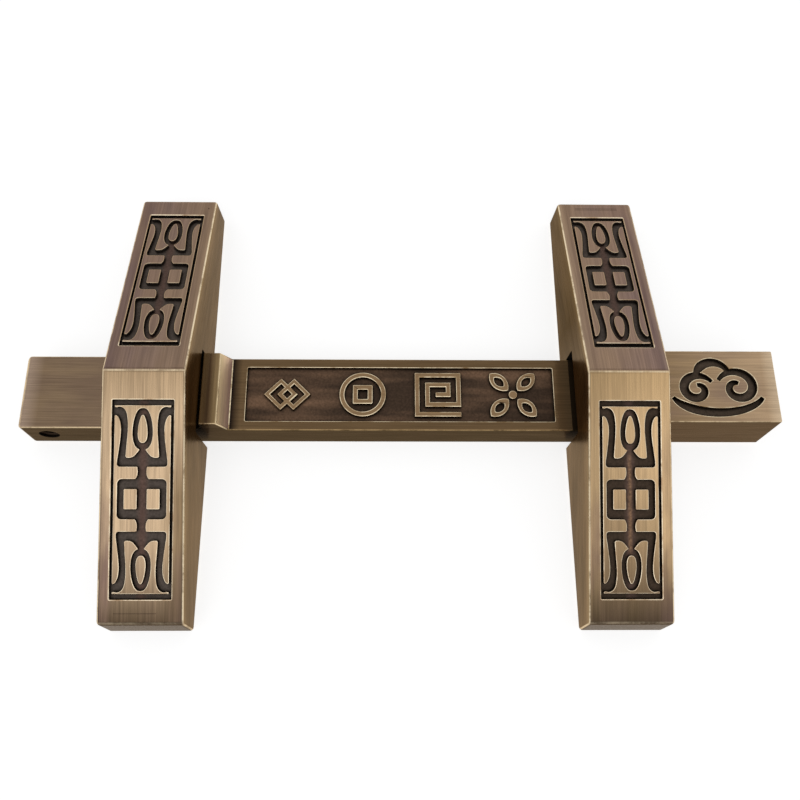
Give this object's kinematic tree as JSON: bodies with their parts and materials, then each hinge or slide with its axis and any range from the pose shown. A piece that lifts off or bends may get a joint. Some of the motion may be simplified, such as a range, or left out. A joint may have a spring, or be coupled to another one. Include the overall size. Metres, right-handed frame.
{
  "type": "door bolt",
  "caption": "Decorative antique-brass door bolt: a stepped rectangular bar slides through the notches of two gable-shaped brackets with fretwork panels.",
  "frame": {"origin": "on the door's face, at the middle of the bar's length and of the brackets' length", "axes": "+X along the bar to its head, +Y up along the brackets, +Z out of the door"},
  "size_m": [0.2, 0.1206, 0.0296],
  "materials": {
    "bracket_brass": "antique brushed brass, dark in the recesses, bright on worn edges",
    "bar_brass": "antique brushed brass, darker brown in its sunk panel"
  },
  "bodies": {
    "brackets": {"left_bracket": "bracket_brass", "right_bracket": "bracket_brass"},
    "bar": {"bolt_bar": "bar_brass"}
  },
  "joints": [
    {"name": "bar_slide", "type": "slide", "parent": "brackets", "child": "bar", "axis": [1, 0, 0], "range_m": [0, 0.09]}
  ]
}
